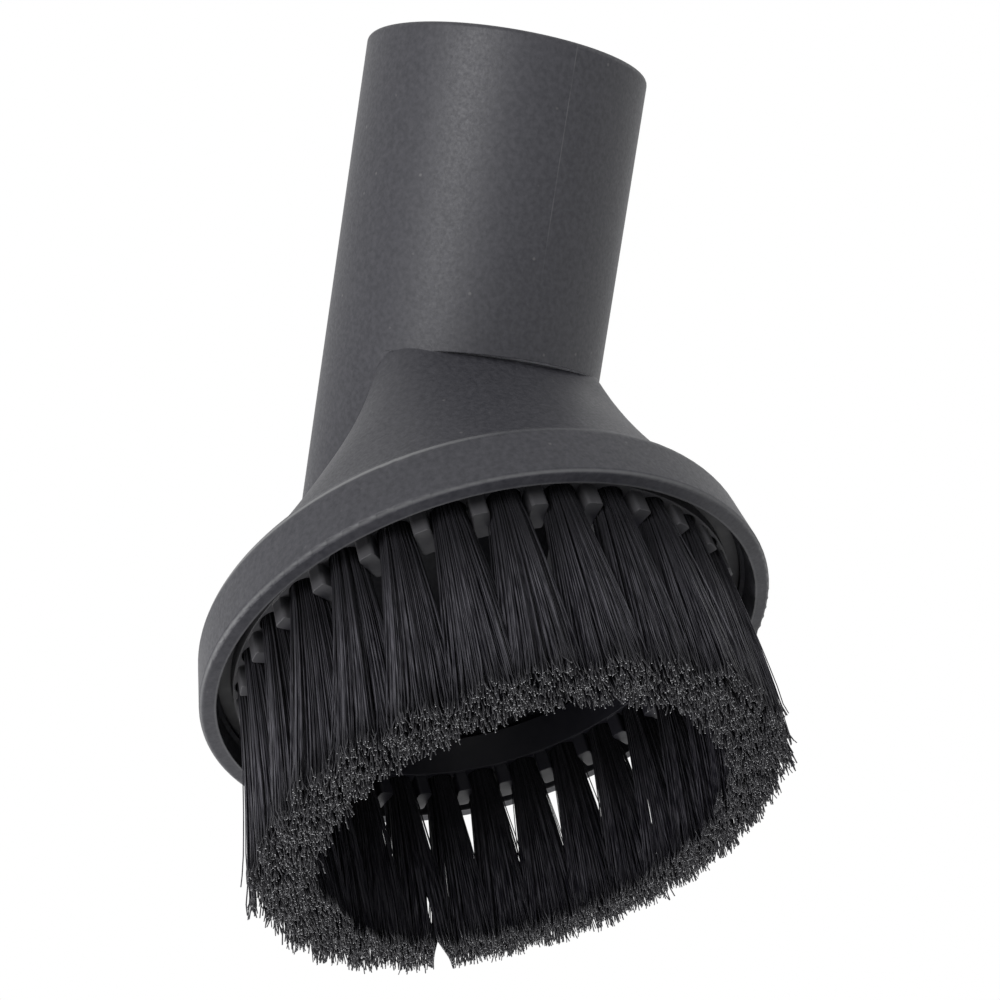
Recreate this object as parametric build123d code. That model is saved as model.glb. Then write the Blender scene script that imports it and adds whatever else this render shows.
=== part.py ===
from build123d import *
from math import cos, pi, radians, sin, sqrt, tan
import os

# Round dusting brush for a vacuum cleaner, in millimetres.
# The brush stands on its bristle tips. The origin is the centre of the tip circle, +Z goes up along
# the head's axis, and the neck leans towards +X. The plane Y = 0 is the plane of symmetry.

# Head
LIP_HEIGHT = 23.0  # the lip above the bristle tips
LIP_RADIUS = 37.35
LIP_THICKNESS = 2.05
LIP_ROUNDING = 0.5
BAND_HEIGHT = 6.6
BAND_DRAFT = 0.6  # how far the band draws in from the lip to its top
SHOULDER_ROLL = 1.55  # how far the shoulder rolls in above the band
SHOULDER_HEIGHT = 8.7  # the crease where the funnel starts, above the lip
CREASE_STEP = 0.35
FUNNEL_WALL = 2.6  # measured level

# Funnel between head and neck: level rings that narrow and slide forwards as they rise.
# Its top is hidden inside the neck. A flattening of 0 is an oval, and more blunts the nose.
FUNNEL_HEIGHT = 28.0  # above the shoulder
FUNNEL_FLARE = 1.62  # 1 is a straight side, and more is a hollower flare
FUNNEL_RINGS = 5
RING_POINTS = 12
TOP_MIDDLE = 20.0
TOP_FRONT = 26.4
TOP_HALF_WIDTH = 16.0
TOP_FLATTENING = 0.3

# Neck, whose axis leans forwards over the head
NECK_TILT = 50.8
NECK_LENGTH = 108.9  # along the axis, from the lip plane to the mouth
LEG_INSET = 0.55  # the upright leg's back inside the shoulder
LEG_SETBACK = 21.7  # from the leg to where the neck's axis meets the lip plane
ELBOW_THROAT = 1.5  # the elbow's inner radius
NECK_RECESS = 1.2  # how far the neck's underside lies inside the socket
RECESS_RADIUS = 20.9
NECK_WALL = 2.05  # at the underside

# Socket for the suction tube, which ends underneath in a slanted ledge
SOCKET_BORE = 17.5
SOCKET_WALL = 1.95
BORE_DEPTH = 40.0
SOCKET_LENGTH = 43.8  # along the axis
LEDGE_SLANT = 10.0
MOUTH_ROUNDING = 0.7
MOUTH_CHAMFER = 0.4

# Recess in the head and the ring of bristles that snaps into it
ROOF_HEIGHT = 6.8  # the seat of the ring's flange, above the lip
ROOF_WIDTH = 2.3
RECESS_DRAFT = 0.3
RING_CLEARANCE = 0.15
FLANGE_THICKNESS = 2.4
FLANGE_WIDTH = 1.85
BEAD_CATCH = 0.2  # how far the snap bead reaches under the flange
BEAD_HEIGHT = 1.0
BEAD_CLEARANCE = 0.1
RING_WIDTH = 4.8
RING_FACE = 2.5  # the underside of the ring, above the lip
RING_TOP = 7.8
POST_WIDTH = 2.0
POST_DROP = 3.0
POST_LENGTH = 4.2
POST_ROUNDING = 0.4

# Tufts
TUFTS = 30
FIRST_TUFT = 2.5  # degrees from +X
HOLE_RADIUS = 2.1
HOLE_DEPTH = 4.1
TUFT_CLEARANCE = 0.06
ROOT_ROUNDING = 1.5
FAN_HEIGHT = 16.0  # where the tufts have spread to the full pitch, above the tips
FAN_REACH = 2.7  # outwards from the circle of holes
FAN_THICKNESS = 5.6
TIP_REACH = 2.9
TIP_THICKNESS = 8.2
TUFT_GAP = 0.24
TUFT_ROUNDING = 1.1
STAPLE_THICKNESS = 0.4
STAPLE_HEIGHT = 1.8
STAPLE_CLEARANCE = 0.05

band_top_radius = LIP_RADIUS - BAND_DRAFT
shoulder_radius = band_top_radius - SHOULDER_ROLL
shoulder = LIP_HEIGHT + SHOULDER_HEIGHT
lip_inner_radius = LIP_RADIUS - LIP_THICKNESS
roof = LIP_HEIGHT + ROOF_HEIGHT
roof_radius = lip_inner_radius - RECESS_DRAFT - ROOF_WIDTH
flange_radius = lip_inner_radius - RECESS_DRAFT - RING_CLEARANCE
ring_bottom = LIP_HEIGHT + RING_FACE
ring_outer_radius = flange_radius - FLANGE_WIDTH
tuft_circle = ring_outer_radius - RING_WIDTH / 2
socket_radius = SOCKET_BORE + SOCKET_WALL
socket_start = NECK_LENGTH - SOCKET_LENGTH
bore_start = NECK_LENGTH - BORE_DEPTH
duct_radius = socket_radius - NECK_RECESS - NECK_WALL
leg_place = -(shoulder_radius - LEG_INSET - socket_radius)
neck_foot = leg_place - LEG_SETBACK
elbow_radius = socket_radius + ELBOW_THROAT
tilt = radians(NECK_TILT)
elbow_setback = elbow_radius * tan(tilt / 2)
elbow_end = LEG_SETBACK / sin(tilt) + elbow_setback  # along the axis
slant = radians(LEDGE_SLANT)
pitch = 360 / TUFTS


def axis_point(distance):
    """A point on the neck's axis, at a distance from where it meets the lip plane."""
    return Vector(neck_foot + distance * sin(tilt), 0, LIP_HEIGHT + distance * cos(tilt))


def axis_plane(distance):
    """A plane across the neck's axis, facing the mouth, with its X towards +Y."""
    return Plane(origin=axis_point(distance), x_dir=(0, 1, 0), z_dir=(sin(tilt), 0, cos(tilt)))


def head_solid():
    """The skirt of the head, still filled: a band with a rounded lip and a rolled shoulder."""
    top = LIP_HEIGHT + BAND_HEIGHT
    with BuildPart() as part:
        with BuildSketch(Plane.XZ):
            with BuildLine():
                Line((0, LIP_HEIGHT), (LIP_RADIUS - LIP_ROUNDING, LIP_HEIGHT))
                TangentArc(
                    (LIP_RADIUS - LIP_ROUNDING, LIP_HEIGHT),
                    (LIP_RADIUS, LIP_HEIGHT + LIP_ROUNDING),
                    tangent=(1, 0),
                )
                Line((LIP_RADIUS, LIP_HEIGHT + LIP_ROUNDING), (band_top_radius, top))
                TangentArc(
                    (band_top_radius, top),
                    (shoulder_radius, shoulder),
                    tangent=(-BAND_DRAFT, BAND_HEIGHT - LIP_ROUNDING),
                )
                Line((shoulder_radius, shoulder), (0, shoulder))
                Line((0, shoulder), (0, LIP_HEIGHT))
            make_face()
        revolve(axis=Axis.Z)
    return part.part


def funnel_ring(climb, inset):
    """One level ring of the funnel, as a smooth closed curve. The climb goes from 0 to 1."""
    foot = shoulder_radius - CREASE_STEP
    spread = (1 - climb) ** FUNNEL_FLARE
    middle = TOP_MIDDLE * (1 - spread)
    front = TOP_FRONT + (foot - TOP_FRONT) * spread - inset
    half_width = TOP_HALF_WIDTH + (foot - TOP_HALF_WIDTH) * spread - inset
    flattening = TOP_FLATTENING * climb
    half_length = (front - middle) / (1 - flattening)
    points = []
    for step in range(RING_POINTS):
        angle = 2 * pi * step / RING_POINTS
        reach = cos(angle) - flattening * cos(angle) ** 2
        points.append((middle + half_length * reach, half_width * sin(angle)))
    return Pos(0, 0, shoulder + FUNNEL_HEIGHT * climb) * make_face(Spline(*points, periodic=True))


def funnel(inset):
    """The skewed funnel that carries the neck, drawn in by a wall when it is the hollow."""
    return loft([funnel_ring(step / (FUNNEL_RINGS - 1), inset) for step in range(FUNNEL_RINGS)])


def bent_rod(radius, end):
    """A round rod up the leg, round the elbow and along the neck's axis."""
    bend = axis_point(LEG_SETBACK / sin(tilt)).Z - elbow_setback
    start = LIP_HEIGHT + LIP_ROUNDING
    hinge = Axis((leg_place + elbow_radius, 0, bend), (0, 1, 0))
    leg = extrude(Pos(leg_place, 0, start) * Circle(radius), bend - start)
    elbow = revolve(Pos(leg_place, 0, bend) * Circle(radius), axis=hinge, revolution_arc=NECK_TILT)
    run = extrude(axis_plane(elbow_end) * Circle(radius), end - elbow_end)
    return leg + elbow + run


def undercut():
    """What the neck's underside lacks below the socket: a crescent that ends at the slanted ledge."""
    sink = RECESS_RADIUS - socket_radius + NECK_RECESS
    crescent = Circle(socket_radius + ELBOW_THROAT) - Pos(0, sink) * Circle(RECESS_RADIUS)
    ledge = Plane(origin=axis_point(socket_start), z_dir=(sin(tilt - slant), 0, cos(tilt - slant)))
    along = extrude(axis_plane(elbow_end) * crescent, NECK_LENGTH - elbow_end)
    return split(along, bisect_by=ledge, keep=Keep.BOTTOM)


def neck_solid():
    """Neck and socket in one, rounded at the mouth, with the ledge where the underside is drawn in."""
    rod = bent_rod(socket_radius, NECK_LENGTH)
    mouth = rod.faces().sort_by(Axis(axis_point(0), (sin(tilt), 0, cos(tilt))))[-1]
    return fillet(mouth.edges(), MOUTH_ROUNDING) - undercut()


def recess():
    """The head's recess for the bristle ring, with a snap bead under the ring's flange."""
    below = LIP_HEIGHT - LIP_ROUNDING
    upper = roof - FLANGE_THICKNESS - BEAD_CLEARANCE
    outline = [
        (0, below),
        (recess_radius(below), below),
        (recess_radius(upper - BEAD_HEIGHT), upper - BEAD_HEIGHT),
        (flange_radius - BEAD_CATCH, upper - BEAD_HEIGHT / 2),
        (recess_radius(upper), upper),
        (recess_radius(roof), roof),
        (roof_radius, roof),
        (roof_radius, shoulder),
        (0, shoulder),
    ]
    return revolve(Plane.XZ * make_face(Polyline(*outline, close=True)), axis=Axis.Z)


def recess_radius(height):
    """The recess narrows a little towards its roof."""
    return lip_inner_radius - RECESS_DRAFT * (height - LIP_HEIGHT) / ROOF_HEIGHT


def socket_bore():
    """The bore for the suction tube, with a chamfered mouth."""
    bore = axis_plane(bore_start) * Cylinder(SOCKET_BORE, BORE_DEPTH, align=(Align.CENTER, Align.CENTER, Align.MIN))
    mouth = axis_plane(NECK_LENGTH - MOUTH_CHAMFER) * Cone(
        SOCKET_BORE, SOCKET_BORE + MOUTH_CHAMFER, MOUTH_CHAMFER, align=(Align.CENTER, Align.CENTER, Align.MIN)
    )
    return bore + mouth


def body():
    """One moulding: skirt, funnel, leaning neck and socket, hollow all the way through."""
    outside = head_solid() + funnel(0) + neck_solid()
    duct = bent_rod(duct_radius, bore_start)
    return outside - recess() - funnel(FUNNEL_WALL) - duct - socket_bore()


def bristle_ring():
    """The ring that holds the tufts: a flange, blind holes and a post between each two tufts."""
    inner = ring_outer_radius - RING_WIDTH
    outline = [
        (inner, ring_bottom),
        (ring_outer_radius, ring_bottom),
        (ring_outer_radius, roof - FLANGE_THICKNESS),
        (flange_radius, roof - FLANGE_THICKNESS),
        (flange_radius, roof),
        (roof_radius - RING_CLEARANCE, roof),
        (roof_radius - RING_CLEARANCE, LIP_HEIGHT + RING_TOP),
        (inner, LIP_HEIGHT + RING_TOP),
    ]
    ring = revolve(Plane.XZ * make_face(Polyline(*outline, close=True)), axis=Axis.Z)
    hole = Pos(tuft_circle, 0, ring_bottom) * Cylinder(
        HOLE_RADIUS, HOLE_DEPTH, align=(Align.CENTER, Align.CENTER, Align.MIN)
    )
    foot = Pos(tuft_circle, 0, ring_bottom - POST_DROP) * RectangleRounded(POST_LENGTH, POST_WIDTH, POST_ROUNDING)
    post = extrude(foot, POST_DROP + POST_ROUNDING)
    ring -= [Rot(0, 0, FIRST_TUFT + step * pitch) * hole for step in range(TUFTS)]
    return ring + [Rot(0, 0, FIRST_TUFT + (step + 0.5) * pitch) * post for step in range(TUFTS)]


def tuft_section(height, outer, thickness, rounding, width=None):
    """A rounded piece of the bristle ring, on +X: as wide as the pitch leaves, unless a width is given."""
    inner = outer - thickness
    if width is None:
        near = inner * tan(radians(pitch / 2)) - TUFT_GAP / 2
        far = outer * tan(radians(pitch / 2)) - TUFT_GAP / 2
    else:
        near = width / 2
        far = width / 2
    corners = [(inner, -near), (outer, -far), (outer, far), (inner, near)]
    outline = fillet(Polyline(*corners, close=True).vertices(), rounding)
    return Pos(0, 0, height) * make_face(outline)


def tuft():
    """One tuft on +X: a root that fills its hole around the staple, then a fan of bristles."""
    root = 2 * (ROOT_ROUNDING + (HOLE_RADIUS - TUFT_CLEARANCE - ROOT_ROUNDING) / sqrt(2))
    neck = ring_bottom - POST_DROP
    top = ring_bottom + HOLE_DEPTH - TUFT_CLEARANCE
    stem = tuft_section(neck, tuft_circle + root / 2, root, ROOT_ROUNDING, root)
    fan = tuft_section(FAN_HEIGHT, tuft_circle + FAN_REACH, FAN_THICKNESS, TUFT_ROUNDING)
    tip = tuft_section(0, tuft_circle + TIP_REACH, TIP_THICKNESS, TUFT_ROUNDING)
    slot = Pos(tuft_circle, 0, top) * Box(
        STAPLE_THICKNESS + 2 * STAPLE_CLEARANCE,
        2 * HOLE_RADIUS,
        2 * (STAPLE_HEIGHT + STAPLE_CLEARANCE - TUFT_CLEARANCE),
    )
    return loft([tip, fan, stem], ruled=True) + extrude(stem, top - neck) - slot


def staple():
    """The wire anchor across the floor of one tuft's hole."""
    half = STAPLE_THICKNESS / 2
    width = 2 * (sqrt(HOLE_RADIUS**2 - half**2) - STAPLE_CLEARANCE)
    floor = ring_bottom + HOLE_DEPTH
    return Pos(tuft_circle, 0, floor - STAPLE_HEIGHT / 2) * Box(STAPLE_THICKNESS, width, STAPLE_HEIGHT)


os.makedirs("parts", exist_ok=True)
export_step(body(), "parts/body.step")
export_step(bristle_ring(), "parts/bristle_ring.step")
one_tuft = tuft()
one_staple = staple()
for step in range(TUFTS):
    turned_tuft = Rot(0, 0, FIRST_TUFT + step * pitch) * one_tuft
    export_step(turned_tuft, f"parts/tuft_{step + 1:02d}.step")
staples = [Rot(0, 0, FIRST_TUFT + step * pitch) * one_staple for step in range(TUFTS)]
export_step(Compound(children=staples), "parts/tuft_staples.step")
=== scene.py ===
import math

import bpy
import numpy as np
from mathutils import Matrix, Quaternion, Vector


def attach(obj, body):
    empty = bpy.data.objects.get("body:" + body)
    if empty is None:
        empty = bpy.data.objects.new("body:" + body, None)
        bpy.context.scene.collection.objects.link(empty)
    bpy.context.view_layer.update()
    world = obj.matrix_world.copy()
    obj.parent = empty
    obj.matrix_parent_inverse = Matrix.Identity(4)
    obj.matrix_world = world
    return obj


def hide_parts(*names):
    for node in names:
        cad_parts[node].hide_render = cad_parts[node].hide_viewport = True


# Round dusting brush for a vacuum cleaner, in metres. The brush stands on its bristle tips at Z = 0,
# on the Z axis, and its neck leans towards +X.

MM = 0.001

# Camera, as the photograph sees the brush: from below, a little to the left of the neck
CAMERA_PLACE = (0.12525, -0.08416, -0.07195)
CAMERA_TARGET = (0.01415, -0.00089, 0.03989)
CAMERA_ROLL = -18.99  # degrees
CAMERA_LENS = 49.6  # millimetres
CAMERA_SENSOR = 36  # millimetres
CAMERA_CLIP = 5 * MM

# Bristles
TUFTS = 30
FIRST_TUFT = 2.5  # degrees from +X
TUFT_CIRCLE = 30.6 * MM
ROOT_RADIUS = 1.75 * MM
ROOT_HEIGHT = 27.2 * MM  # inside the ring's holes
FILAMENTS = 360  # in each tuft
FILAMENT_RADIUS = 0.088 * MM
THINNEST = 0.85  # of the filament radius
THICKNESS_RANGE = 0.3  # from the thinnest to the thickest
FILAMENT_SHARES = (0.0, 0.22, 0.45, 0.68, 0.78, 0.87, 0.955, 1.0)  # its bends, from root to tip
TIP_SPREAD_OUT = 2.4  # how much wider a tuft is at its tips than in its hole, measured outwards
TIP_SPREAD_ROUND = 2.5  # and round the ring
TIP_SHIFT = -0.55 * MM  # of the tips, outwards
TIP_SCATTER = 0.3 * MM
STRAY_SHARE = 0.025
STRAY_SCATTER = 1.0 * MM
SCATTER_LIMIT = 1.3  # times the scatter
BOW = 0.11 * MM
CURL = 0.24 * MM  # how far the ends turn aside
CURL_START = 0.4  # the share of it by which the last stretch moves as a whole
TIP_RAGGED = 0.9 * MM  # how unevenly the tips are trimmed
TUFT_RAGGED = 0.35 * MM
TUFT_SWAY = 0.28 * MM
BRISTLE_LEAN = (-2.3 * MM, -0.85 * MM)  # all tips, level
LEAN_CURVE = 1.6  # filaments lean more towards their tips
SPLAY = 1.1 * MM  # the ring of tips is a little oval
SPLAY_SIDE = -23.0  # degrees from +X
BRISTLE_SEED = 7

# Parting in the far tufts: a notch that opens at the tips, and a slit above it. Both rise outwards.
PARTED_TUFT = 15
PARTING_PLACE = (-30.7 * MM, -0.85 * MM)
PARTING_DIRECTION = 152.0  # degrees from +X
PARTING_RISE = 0.42
NOTCH_TOP = 1.8 * MM
NOTCH_HEIGHT = 3.4 * MM
NOTCH_WIDTH = 1.3 * MM  # to each side
SLIT_MIDDLE = 5.9 * MM
SLIT_HALF_HEIGHT = 1.9 * MM
SLIT_WIDTH = 0.42 * MM  # to each side

# Light: two lamps, and a sky that is brighter on the backdrop's side, past the brush from the camera
KEY_PLACE = (0.418, -0.540, -0.114)
KEY_SIZE = 0.3
KEY_POWER = 3.5
LEFT_PLACE = (-0.16, -0.24, -0.20)
LEFT_SIZE = 0.15
LEFT_POWER = 1.0
LAMP_TARGET = (0.01, 0.0, 0.05)
BACKDROP_SIDE = (-0.62, 0.47, 0.63)
BACKDROP_LIGHT = 1.0
CAMERA_SIDE_LIGHT = 0.48
SKY_COLOR = (0.96, 0.98, 1.0, 1.0)
FLOOR_HALF = 30.0
FLOOR_COLOR = (0.93, 0.93, 0.93, 1.0)

# Edges that look softened, and the angle from which an edge is sharp
EDGE_SOFTENING = 0.22 * MM
SHARP_ANGLE = 25.0  # degrees

# A line drawn on a surface has its full strength within this share of its half width
LINE_CORE = 0.3

# Neck's axis, and the moulding seam along its underside, which fades out on the way down
NECK_FOOT = (-36.9 * MM, 0.0, 23.0 * MM)
NECK_TILT = math.radians(50.8)  # from +Z
NECK_AXIS = (math.sin(NECK_TILT), 0.0, math.cos(NECK_TILT))
NECK_UNDERSIDE = (math.cos(NECK_TILT), 0.0, -math.sin(NECK_TILT))
SEAM_HALF_WIDTH = 0.10 * MM
SEAM_END = 78.0 * MM  # along the axis
SEAM_START = 88.0 * MM

# Ledge under the socket. Light is painted on its narrow face towards +Y, where it lies in shade, so that it
# shows there as a thin pale line.
LEDGE_PLACE = 65.1 * MM  # along the neck's axis
LEDGE_TILT = math.radians(40.8)  # from +Z
LEDGE_DEPTH = 0.1 * MM
LEDGE_FACING = -0.95  # or less, along the ledge's axis
LEDGE_LIGHT_START = -9.0 * MM  # of Y, up to where no light is painted and it is as dark as the housing
LEDGE_LIGHT_FULL = 1.0 * MM  # and from where the painted light is full

# Painted highlight lines along round edges of the head, where their rounding catches light: radius, height,
# half width, how pale towards -Y, and elsewhere
PAINTED_EDGE_HIGHLIGHTS = (
    (37.2 * MM, 23.15 * MM, 0.26 * MM, 0.4, 0.4),  # the lip, outside
    (35.4 * MM, 23.1 * MM, 0.26 * MM, 0.35, 0.35),  # and inside
    (36.6 * MM, 30.3 * MM, 0.45 * MM, 1.0, 0.2),  # the shoulder
)
HIGHLIGHT_SIDE = -24.0 * MM  # of Y, where the painted highlight starts to fade
HIGHLIGHT_SIDE_END = -12.0 * MM

# Colours of the housing
HOUSING_DARK = (0.020, 0.020, 0.025)
HOUSING_PALE = (0.037, 0.0365, 0.043)
HOUSING_SPECK = (0.16, 0.155, 0.155)
HOUSING_SEAM = (0.10, 0.10, 0.105)
# Painted highlight on the head's round edges
HOUSING_EDGE_HIGHLIGHT = (0.15, 0.15, 0.152)
# Painted light on the ledge's face
HOUSING_LEDGE_PAINTED_LIGHT = (0.62, 0.62, 0.65)

# Colours of the bristle ring, with painted shade and light by radius: darker inside, where shade falls, and
# paler outside its holes, where the posts catch light
# Darkened as painted shade inside the ring, with a tone that differs at random
RING_DARK = (0.015, 0.0146, 0.0195)
RING_PALE = (0.023, 0.0225, 0.028)
RING_OUTER_PAINTED_LIGHT = (0.056, 0.055, 0.059)
RING_OUTER_START = 30.5 * MM  # from the middle
RING_OUTER_END = 32.3 * MM

# Colours of the bristles, with painted shade towards their roots, under the lip, and towards their ends, and
# painted glints where they are cut
BRISTLE_DARK = (0.010, 0.0095, 0.014)
BRISTLE_PALE = (0.062, 0.060, 0.070)
# Painted shade near the roots, under the lip
BRISTLE_ROOT_SHADE = (0.006, 0.0056, 0.0085)
ROOT_SHADE_START = 11 * MM  # above the tips
ROOT_SHADE_END = 20 * MM
# Painted shade on the filaments' sides near their ends
BRISTLE_END_SHADE = (0.005, 0.0047, 0.007)
END_SHADE_FULL = 1.5 * MM
END_SHADE_STOP = 5 * MM
# Painted glints on the cut ends, which face down
CUT_DARK = (0.02, 0.02, 0.024)
CUT_GLINT = (0.55, 0.55, 0.56)
CUT_FACING = -0.8  # or less, along Z

# Colours of the steel wire
WIRE_DARK = (0.45, 0.45, 0.46)
WIRE_PALE = (0.62, 0.62, 0.63)


def clear_scene():
    """Starts from an empty file."""
    bpy.ops.wm.read_factory_settings(use_empty=True)


def link(obj):
    """Puts an object into the scene."""
    bpy.context.scene.collection.objects.link(obj)
    return obj


def new_material(name):
    """A material with an empty node tree, and its output node."""
    made = bpy.data.materials.new(name)
    made.use_nodes = True
    made.node_tree.nodes.clear()
    output = made.node_tree.nodes.new("ShaderNodeOutputMaterial")
    return made, made.node_tree, output


def plastic(name, **settings):
    """A material of one Principled shader, with its tree, its shader and the object's coordinates."""
    made, tree, output = new_material(name)
    shader = node(tree, "ShaderNodeBsdfPrincipled", **settings)
    tree.links.new(shader.outputs[0], output.inputs["Surface"])
    return made, tree, shader, node(tree, "ShaderNodeTexCoord").outputs["Object"]


def node(tree, kind, **settings):
    """A new node. Settings name its properties, or its inputs where a property has no such name."""
    made = tree.nodes.new(kind)
    for name, value in settings.items():
        if hasattr(made, name):
            setattr(made, name, value)
        else:
            made.inputs[name.replace("_", " ")].default_value = value
    return made


def math_node(tree, operation, *values):
    """A Math node whose inputs are sockets or numbers, and its output socket."""
    made = tree.nodes.new("ShaderNodeMath")
    made.operation = operation
    for place, value in enumerate(values):
        if isinstance(value, (int, float)):
            made.inputs[place].default_value = value
        else:
            tree.links.new(value, made.inputs[place])
    return made.outputs[0]


def product(tree, *values):
    """The product of several sockets or numbers."""
    total = values[0]
    for value in values[1:]:
        total = math_node(tree, "MULTIPLY", total, value)
    return total


def length(tree, first, second):
    """The length of a vector with two parts at a right angle."""
    squares = math_node(tree, "ADD", product(tree, first, first), product(tree, second, second))
    return math_node(tree, "SQRT", squares)


def minus(tree, vector, constant):
    """A vector socket less a constant vector."""
    made = node(tree, "ShaderNodeVectorMath", operation="SUBTRACT")
    tree.links.new(vector, made.inputs[0])
    made.inputs[1].default_value = constant
    return made.outputs[0]


def dot(tree, vector, constant):
    """The dot product of a vector socket and a constant vector."""
    made = node(tree, "ShaderNodeVectorMath", operation="DOT_PRODUCT")
    tree.links.new(vector, made.inputs[0])
    made.inputs[1].default_value = constant
    return made.outputs["Value"]


def split_vector(tree, vector):
    """The X, Y and Z sockets of a vector."""
    made = node(tree, "ShaderNodeSeparateXYZ")
    tree.links.new(vector, made.inputs[0])
    return made.outputs["X"], made.outputs["Y"], made.outputs["Z"]


def true_normal(tree):
    """The normal of the face itself, without smoothing."""
    return node(tree, "ShaderNodeNewGeometry").outputs["True Normal"]


def noise(tree, coordinates, scale, detail=2.0):
    """A noise of the coordinates, from 0 to 1."""
    made = node(tree, "ShaderNodeTexNoise", Scale=scale, Detail=detail)
    tree.links.new(coordinates, made.inputs["Vector"])
    return made.outputs["Fac"]


def mix_color(tree, factor, low, high):
    """Mixes two colours, given as triples or sockets, by a factor socket."""
    made = tree.nodes.new("ShaderNodeMix")
    made.data_type = "RGBA"
    tree.links.new(factor, made.inputs["Factor"])
    for place, value in (("A", low), ("B", high)):
        socket = next(s for s in made.inputs if s.name == place and s.type == "RGBA")
        if isinstance(value, tuple):
            socket.default_value = (*value, 1.0)
        else:
            tree.links.new(value, socket)
    return next(s for s in made.outputs if s.type == "RGBA")


def map_range(tree, value, low, high, to_low, to_high):
    """Carries a value's range over to another, and holds it at the ends."""
    made = node(tree, "ShaderNodeMapRange", From_Min=low, From_Max=high, To_Min=to_low, To_Max=to_high)
    tree.links.new(value, made.inputs["Value"])
    return made.outputs["Result"]


def line_mask(tree, distance, half_width):
    """1 where a distance is close to 0, and 0 from the half width on."""
    return map_range(tree, distance, LINE_CORE * half_width, half_width, 1.0, 0.0)


def bump(tree, height, strength, distance):
    """A bump from a height socket."""
    made = node(tree, "ShaderNodeBump", Strength=strength, Distance=distance)
    tree.links.new(height, made.inputs["Height"])
    return made


def soft_bump(tree, height, strength, distance):
    """A bump on a normal that rounds the edges a little."""
    made = bump(tree, height, strength, distance)
    edge = node(tree, "ShaderNodeBevel", samples=6, Radius=EDGE_SOFTENING)
    tree.links.new(edge.outputs[0], made.inputs["Normal"])
    return made


def mix_shaders(tree, factor, low, high, output):
    """Mixes two shader nodes by a factor socket, into the output node."""
    mix = node(tree, "ShaderNodeMixShader")
    tree.links.new(factor, mix.inputs["Fac"])
    tree.links.new(low.outputs[0], mix.inputs[1])
    tree.links.new(high.outputs[0], mix.inputs[2])
    tree.links.new(mix.outputs[0], output.inputs["Surface"])


def seam_mask(tree, position):
    """1 on the moulding seam and 0 beside it."""
    from_foot = minus(tree, position, NECK_FOOT)
    across = math_node(tree, "ABSOLUTE", split_vector(tree, position)[1])
    line = line_mask(tree, across, SEAM_HALF_WIDTH)
    reach = map_range(tree, dot(tree, from_foot, NECK_AXIS), SEAM_END, SEAM_START, 0.0, 1.0)
    broken = map_range(tree, noise(tree, position, scale=220.0), 0.35, 0.6, 0.35, 1.0)
    underside = math_node(tree, "GREATER_THAN", dot(tree, from_foot, NECK_UNDERSIDE), 0.0)
    return product(tree, line, reach, broken, underside)


def painted_ledge_light_mask(tree, position):
    """1 where light is painted on the ledge's face, and 0 elsewhere."""
    axis = (math.sin(LEDGE_TILT), 0.0, math.cos(LEDGE_TILT))
    centre = Vector(NECK_FOOT) + LEDGE_PLACE * Vector(NECK_AXIS)
    off = math_node(tree, "ABSOLUTE", dot(tree, minus(tree, position, centre), axis))
    near = math_node(tree, "LESS_THAN", off, LEDGE_DEPTH)
    down = math_node(tree, "LESS_THAN", dot(tree, true_normal(tree), axis), LEDGE_FACING)
    lit = map_range(tree, split_vector(tree, position)[1], LEDGE_LIGHT_START, LEDGE_LIGHT_FULL, 0.0, 1.0)
    return product(tree, lit, near, down)


def painted_edge_highlight_mask(tree, position):
    """Up to 1 where highlights are painted on the round edges of the head, and 0 beside them."""
    x, y, z = split_vector(tree, position)
    radius = length(tree, x, y)
    total = None
    for edge_radius, edge_height, half_width, near, far in PAINTED_EDGE_HIGHLIGHTS:
        out = math_node(tree, "SUBTRACT", radius, edge_radius)
        up = math_node(tree, "SUBTRACT", z, edge_height)
        line = line_mask(tree, length(tree, out, up), half_width)
        share = map_range(tree, y, HIGHLIGHT_SIDE, HIGHLIGHT_SIDE_END, near, far)
        line = product(tree, line, share)
        total = line if total is None else math_node(tree, "MAXIMUM", total, line)
    return total


def housing_material():
    """Dark satin plastic with a fine moulded grain, a seam and a few light specks, with painted highlights
    on the head's round edges and painted light on the ledge's face.
    """
    made, tree, shader, position = plastic("housing", Specular_IOR_Level=0.41)
    grain = noise(tree, position, scale=2600.0, detail=3.0)
    cloud = noise(tree, position, scale=60.0, detail=3.0)
    mottle = noise(tree, position, scale=1500.0)
    seam = seam_mask(tree, position)
    specks = node(tree, "ShaderNodeTexVoronoi", feature="F1", Scale=260.0)
    tree.links.new(position, specks.inputs["Vector"])
    speck = map_range(tree, specks.outputs["Distance"], 0.03, 0.07, 1.0, 0.0)

    tone = mix_color(tree, map_range(tree, mottle, 0.3, 0.7, 0.0, 1.0), HOUSING_DARK, HOUSING_PALE)
    tone = mix_color(tree, product(tree, speck, 0.35), tone, HOUSING_SPECK)
    tone = mix_color(tree, product(tree, seam, 0.45), tone, HOUSING_SEAM)
    # Painted highlights along the lip and shoulder edges
    tone = mix_color(tree, painted_edge_highlight_mask(tree, position), tone, HOUSING_EDGE_HIGHLIGHT)
    # Painted light on the ledge's face, towards +Y
    tone = mix_color(tree, painted_ledge_light_mask(tree, position), tone, HOUSING_LEDGE_PAINTED_LIGHT)
    tree.links.new(tone, shader.inputs["Base Color"])

    fine = map_range(tree, grain, 0.3, 0.7, 0.44, 0.56)
    rough = math_node(tree, "ADD", fine, product(tree, cloud, 0.06))
    tree.links.new(rough, shader.inputs["Roughness"])
    height = math_node(tree, "ADD", grain, product(tree, seam, 1.5))
    relief = soft_bump(tree, height, strength=0.4, distance=0.05 * MM)
    tree.links.new(relief.outputs[0], shader.inputs["Normal"])
    return made


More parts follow.
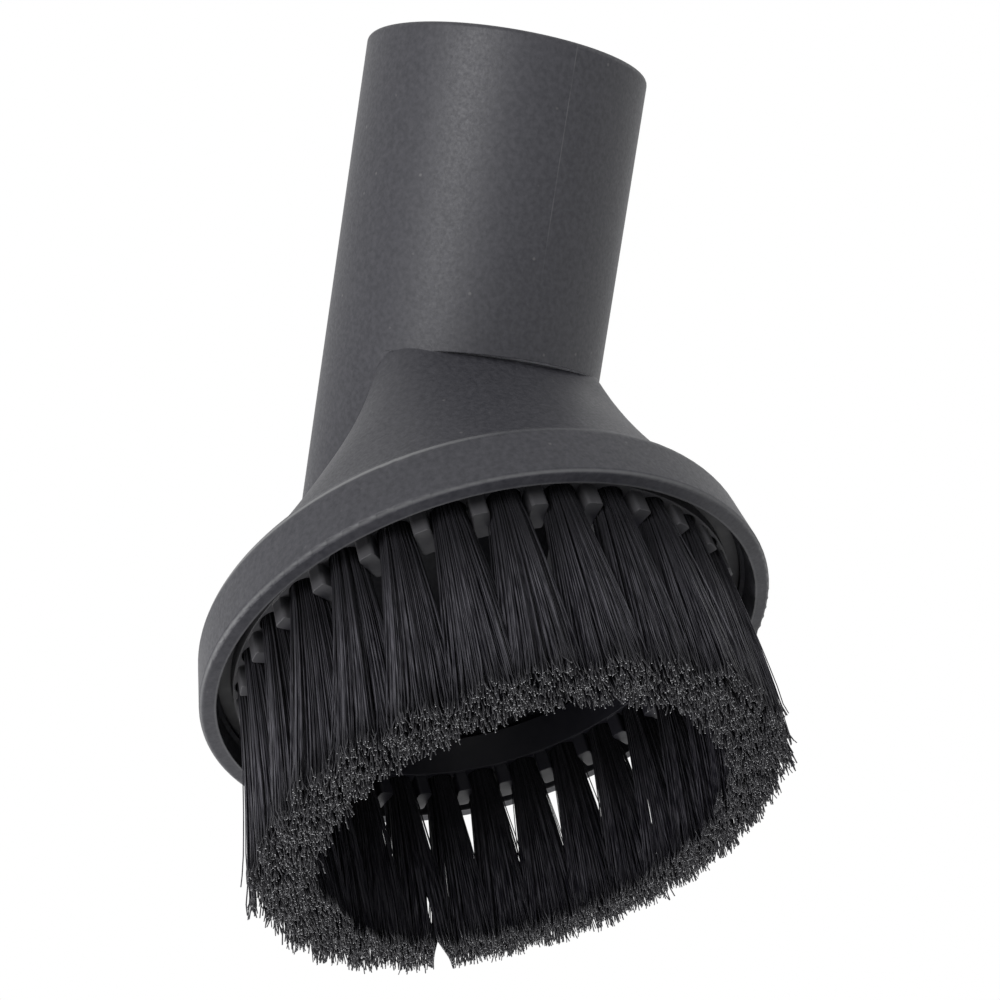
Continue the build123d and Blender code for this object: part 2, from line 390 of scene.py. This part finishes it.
def ring_material():
    """The bristle ring's plastic: the same dark grey, a little smoother, with painted shade inside and
    painted light round the outside.
    """
    made, tree, shader, position = plastic("ring", Specular_IOR_Level=0.25)
    cloud = noise(tree, position, scale=700.0, detail=3.0)
    x, y = split_vector(tree, position)[:2]
    outer = map_range(tree, length(tree, x, y), RING_OUTER_START, RING_OUTER_END, 0.0, 1.0)
    tone = mix_color(tree, cloud, RING_DARK, RING_PALE)
    # Painted light round the outside, over the painted shade inside
    tree.links.new(mix_color(tree, outer, tone, RING_OUTER_PAINTED_LIGHT), shader.inputs["Base Color"])
    tree.links.new(map_range(tree, cloud, 0.3, 0.7, 0.36, 0.5), shader.inputs["Roughness"])
    grain = noise(tree, position, scale=2000.0)
    relief = soft_bump(tree, grain, strength=0.25, distance=0.05 * MM)
    tree.links.new(relief.outputs[0], shader.inputs["Normal"])
    return made


def bristle_material():
    """Fine black nylon, with a tone that differs from filament to filament, painted shade towards the roots
    and ends, and painted glints on the cut ends.
    """
    made, tree, shader, position = plastic("bristles", Specular_IOR_Level=0.35)
    stretched = node(tree, "ShaderNodeMapping", Scale=(1.0, 1.0, 0.12))
    tree.links.new(position, stretched.inputs["Vector"])
    strand = noise(tree, stretched.outputs[0], scale=2500.0, detail=1.0)
    height = split_vector(tree, position)[2]
    root = map_range(tree, height, ROOT_SHADE_START, ROOT_SHADE_END, 0.0, 1.0)
    end = map_range(tree, height, END_SHADE_FULL, END_SHADE_STOP, 0.85, 0.0)
    cut = math_node(tree, "LESS_THAN", split_vector(tree, true_normal(tree))[2], CUT_FACING)
    speck = map_range(tree, noise(tree, position, scale=1800.0, detail=1.0), 0.45, 0.62, 0.0, 1.0)

    tone = mix_color(tree, map_range(tree, strand, 0.35, 0.65, 0.0, 1.0), BRISTLE_DARK, BRISTLE_PALE)
    # Painted shade towards the roots
    tone = mix_color(tree, root, tone, BRISTLE_ROOT_SHADE)
    # Painted shade towards the ends
    tone = mix_color(tree, end, tone, BRISTLE_END_SHADE)
    # Painted glints, speckled, on the cut ends
    tone = mix_color(tree, cut, tone, mix_color(tree, speck, CUT_DARK, CUT_GLINT))
    tree.links.new(tone, shader.inputs["Base Color"])

    fine = map_range(tree, strand, 0.35, 0.65, 0.34, 0.52)
    tree.links.new(math_node(tree, "ADD", fine, product(tree, root, 0.4)), shader.inputs["Roughness"])
    relief = bump(tree, strand, strength=0.15, distance=0.02 * MM)
    tree.links.new(relief.outputs[0], shader.inputs["Normal"])
    return made


def wire_material():
    """Drawn steel wire."""
    made, tree, shader, position = plastic("wire", Metallic=1.0)
    drawn = noise(tree, position, scale=3000.0)
    tree.links.new(mix_color(tree, drawn, WIRE_DARK, WIRE_PALE), shader.inputs["Base Color"])
    tree.links.new(map_range(tree, drawn, 0.3, 0.7, 0.3, 0.45), shader.inputs["Roughness"])
    relief = bump(tree, drawn, strength=0.2, distance=0.01 * MM)
    tree.links.new(relief.outputs[0], shader.inputs["Normal"])
    return made


def part_bristles(level, height):
    """Pushes the filaments away from the parting. Takes and gives their level places."""
    direction = math.radians(PARTING_DIRECTION)
    from_place = level - np.array(PARTING_PLACE)
    along = from_place @ np.array((math.cos(direction), math.sin(direction)))
    across = np.array((-math.sin(direction), math.cos(direction)))
    risen = height - PARTING_RISE * along
    notch = NOTCH_WIDTH * np.clip((NOTCH_TOP - risen) / NOTCH_HEIGHT, 0, 1)
    slit = SLIT_WIDTH * np.sqrt(np.clip(1 - ((risen - SLIT_MIDDLE) / SLIT_HALF_HEIGHT) ** 2, 0, 1))
    width = np.maximum(notch, slit)
    away = from_place @ across
    side = np.where(away >= 0, 1.0, -1.0)
    side = np.where(notch > 0, side[:, -1:], side)
    moved = np.where(width > 0, side * np.maximum(side * away, width) - away, 0.0)
    return level + moved[..., None] * across


def tuft_paths(index, random):
    """The centre lines of one tuft's filaments, as an array of filaments, steps and coordinates."""
    count = FILAMENTS
    tuft_angle = math.radians(FIRST_TUFT + index * 360 / TUFTS)

    # Places in the hole
    reach = ROOT_RADIUS * np.sqrt(random.random(count))
    turn = 2 * math.pi * random.random(count)
    root_out = reach * np.cos(turn)
    root_round = reach * np.sin(turn)

    # Places of the tips
    stray = random.random(count) < STRAY_SHARE
    scatter = np.where(stray, STRAY_SCATTER, TIP_SCATTER)
    scattered = scatter * np.clip(random.standard_normal((2, count)), -SCATTER_LIMIT, SCATTER_LIMIT)
    splay = SPLAY * math.cos(2 * (tuft_angle - math.radians(SPLAY_SIDE)))
    tip_out = TIP_SHIFT + splay + root_out * TIP_SPREAD_OUT + scattered[0]
    tip_round = root_round * TIP_SPREAD_ROUND + scattered[1]
    tuft_level = TUFT_RAGGED * random.random()
    tip_height = tuft_level + TIP_RAGGED * random.random(count) ** 2

    # From root to tip, with a bow
    share = np.array(FILAMENT_SHARES)
    bow = BOW * np.sin(math.pi * share)
    out = root_out[:, None] + (tip_out - root_out)[:, None] * share
    out = out + bow * random.standard_normal((count, 1))
    round_ring = root_round[:, None] + (tip_round - root_round)[:, None] * share
    round_ring = round_ring + bow * random.standard_normal((count, 1))
    height = ROOT_HEIGHT + (tip_height - ROOT_HEIGHT)[:, None] * share

    # Round the ring, leaning, with ends that turn aside
    distance = TUFT_CIRCLE + out
    angle = tuft_angle + round_ring / distance
    level = np.stack((distance * np.cos(angle), distance * np.sin(angle)), axis=-1)
    lean = np.array(BRISTLE_LEAN) + TUFT_SWAY * random.standard_normal(2)
    level = level + (share**LEAN_CURVE)[:, None] * lean
    level[:, -2:] += CURL_START * CURL * random.standard_normal((count, 1, 2))
    level[:, -1] += CURL * random.standard_normal((count, 2))
    if abs(index - PARTED_TUFT) <= 1:
        level = part_bristles(level, height)
    return np.concatenate((level, height[..., None]), axis=-1)


def filament_mesh(name, paths, random):
    """Three-sided tubes along the paths, closed at the tips, as one mesh."""
    count, steps = paths.shape[:2]
    turn = random.random(count)[:, None] * 2 * math.pi + np.arange(3) * 2 * math.pi / 3
    radius = FILAMENT_RADIUS * (THINNEST + THICKNESS_RANGE * random.random(count))
    ring = np.zeros((count, 1, 3, 3))
    ring[:, 0, :, 0] = radius[:, None] * np.cos(turn)
    ring[:, 0, :, 1] = radius[:, None] * np.sin(turn)
    corners = (paths[:, :, None, :] + ring).reshape(-1, 3)

    first = (np.arange(count)[:, None, None] * steps + np.arange(steps - 1)[None, :, None]) * 3
    side = np.arange(3)[None, None, :]
    following = (side + 1) % 3
    quads = np.stack((first + side, first + side + 3, first + following + 3, first + following), axis=-1)
    quads = quads.reshape(-1, 4)
    last = (np.arange(count) * steps + steps - 1) * 3
    caps = np.stack((last, last + 2, last + 1), axis=-1)
    mesh = bpy.data.meshes.new(name)
    mesh.from_pydata(corners.tolist(), [], quads.tolist() + caps.tolist())
    mesh.polygons.foreach_set("use_smooth", [True] * len(quads) + [False] * len(caps))
    mesh.update()
    return mesh


def make_bristles(material):
    """Every tuft as a bundle of filaments that stands for its CAD solid."""
    random = np.random.default_rng(BRISTLE_SEED)
    for index in range(TUFTS):
        name = f"tuft_{index + 1:02d}"
        mesh = filament_mesh(name + "_filaments", tuft_paths(index, random), random)
        mesh.materials.append(material)
        tuft = link(bpy.data.objects.new(name + "_filaments", mesh))
        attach(tuft, "root")
        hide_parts(name)


def dress(obj, material):
    """Gives a CAD node its material and smooth shading."""
    obj.data.materials.clear()
    obj.data.materials.append(material)
    obj.data.polygons.foreach_set("use_smooth", [True] * len(obj.data.polygons))
    obj.data.set_sharp_from_angle(angle=math.radians(SHARP_ANGLE))


def make_camera():
    """The camera of the photograph."""
    data = bpy.data.cameras.new("camera")
    data.sensor_width = CAMERA_SENSOR
    data.lens = CAMERA_LENS
    data.clip_start = CAMERA_CLIP
    camera = link(bpy.data.objects.new("camera", data))
    camera.location = CAMERA_PLACE
    aim = (Vector(CAMERA_TARGET) - Vector(CAMERA_PLACE)).to_track_quat("-Z", "Y")
    camera.rotation_mode = "QUATERNION"
    camera.rotation_quaternion = aim @ Quaternion((0, 0, 1), math.radians(CAMERA_ROLL))
    bpy.context.scene.camera = camera


def make_lamp(name, place, size, power):
    """A square soft lamp that faces the brush."""
    data = bpy.data.lights.new(name, "AREA")
    data.size = size
    data.energy = power
    lamp = link(bpy.data.objects.new(name, data))
    lamp.location = place
    lamp.rotation_mode = "QUATERNION"
    lamp.rotation_quaternion = (Vector(LAMP_TARGET) - Vector(place)).to_track_quat("-Z", "Y")
    lamp.visible_camera = False


def make_floor():
    """A pale floor that only the camera sees, and only from above: the photograph looks up from below it."""
    half = FLOOR_HALF
    corners = [(-half, -half, 0), (half, -half, 0), (half, half, 0), (-half, half, 0)]
    mesh = bpy.data.meshes.new("floor")
    mesh.from_pydata(corners, [], [(0, 1, 2, 3)])
    floor = link(bpy.data.objects.new("floor", mesh))
    made, tree, output = new_material("floor")
    pale = node(tree, "ShaderNodeBsdfDiffuse", Color=FLOOR_COLOR)
    clear = node(tree, "ShaderNodeBsdfTransparent")
    rays = node(tree, "ShaderNodeLightPath")
    sides = node(tree, "ShaderNodeNewGeometry")
    front = math_node(tree, "SUBTRACT", 1.0, sides.outputs["Backfacing"])
    seen = product(tree, rays.outputs["Is Camera Ray"], front)
    mix_shaders(tree, seen, clear, pale, output)
    floor.data.materials.append(made)


def make_world():
    """Soft light, brighter on the backdrop's side. Camera, glossy and transmission rays see plain white."""
    world = bpy.data.worlds.new("world")
    bpy.context.scene.world = world
    world.use_nodes = True
    tree = world.node_tree
    tree.nodes.clear()
    output = tree.nodes.new("ShaderNodeOutputWorld")
    light = node(tree, "ShaderNodeBackground", Color=SKY_COLOR)
    side = dot(tree, node(tree, "ShaderNodeTexCoord").outputs["Generated"], BACKDROP_SIDE)
    strength = map_range(tree, side, -0.3, 0.6, CAMERA_SIDE_LIGHT, BACKDROP_LIGHT)
    tree.links.new(strength, light.inputs["Strength"])
    white = node(tree, "ShaderNodeBackground", Color=(1.0, 1.0, 1.0, 1.0))
    rays = node(tree, "ShaderNodeLightPath")
    seen = math_node(tree, "MAXIMUM", rays.outputs["Is Camera Ray"], rays.outputs["Is Transmission Ray"])
    seen = math_node(tree, "MAXIMUM", seen, rays.outputs["Is Glossy Ray"])
    mix_shaders(tree, seen, light, white, output)


clear_scene()
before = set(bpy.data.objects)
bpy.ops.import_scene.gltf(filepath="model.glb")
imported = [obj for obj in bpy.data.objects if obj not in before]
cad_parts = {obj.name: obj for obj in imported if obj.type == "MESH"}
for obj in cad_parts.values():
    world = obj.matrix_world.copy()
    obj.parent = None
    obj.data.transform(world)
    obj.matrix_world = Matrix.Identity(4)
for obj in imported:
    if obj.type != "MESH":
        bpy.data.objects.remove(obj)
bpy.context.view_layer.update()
bpy.context.scene.view_settings.view_transform = "Standard"

dress(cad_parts["body"], housing_material())
dress(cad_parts["bristle_ring"], ring_material())
dress(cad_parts["tuft_staples"], wire_material())
make_bristles(bristle_material())

make_camera()
make_lamp("key", KEY_PLACE, KEY_SIZE, KEY_POWER)
make_lamp("left", LEFT_PLACE, LEFT_SIZE, LEFT_POWER)
make_floor()
make_world()
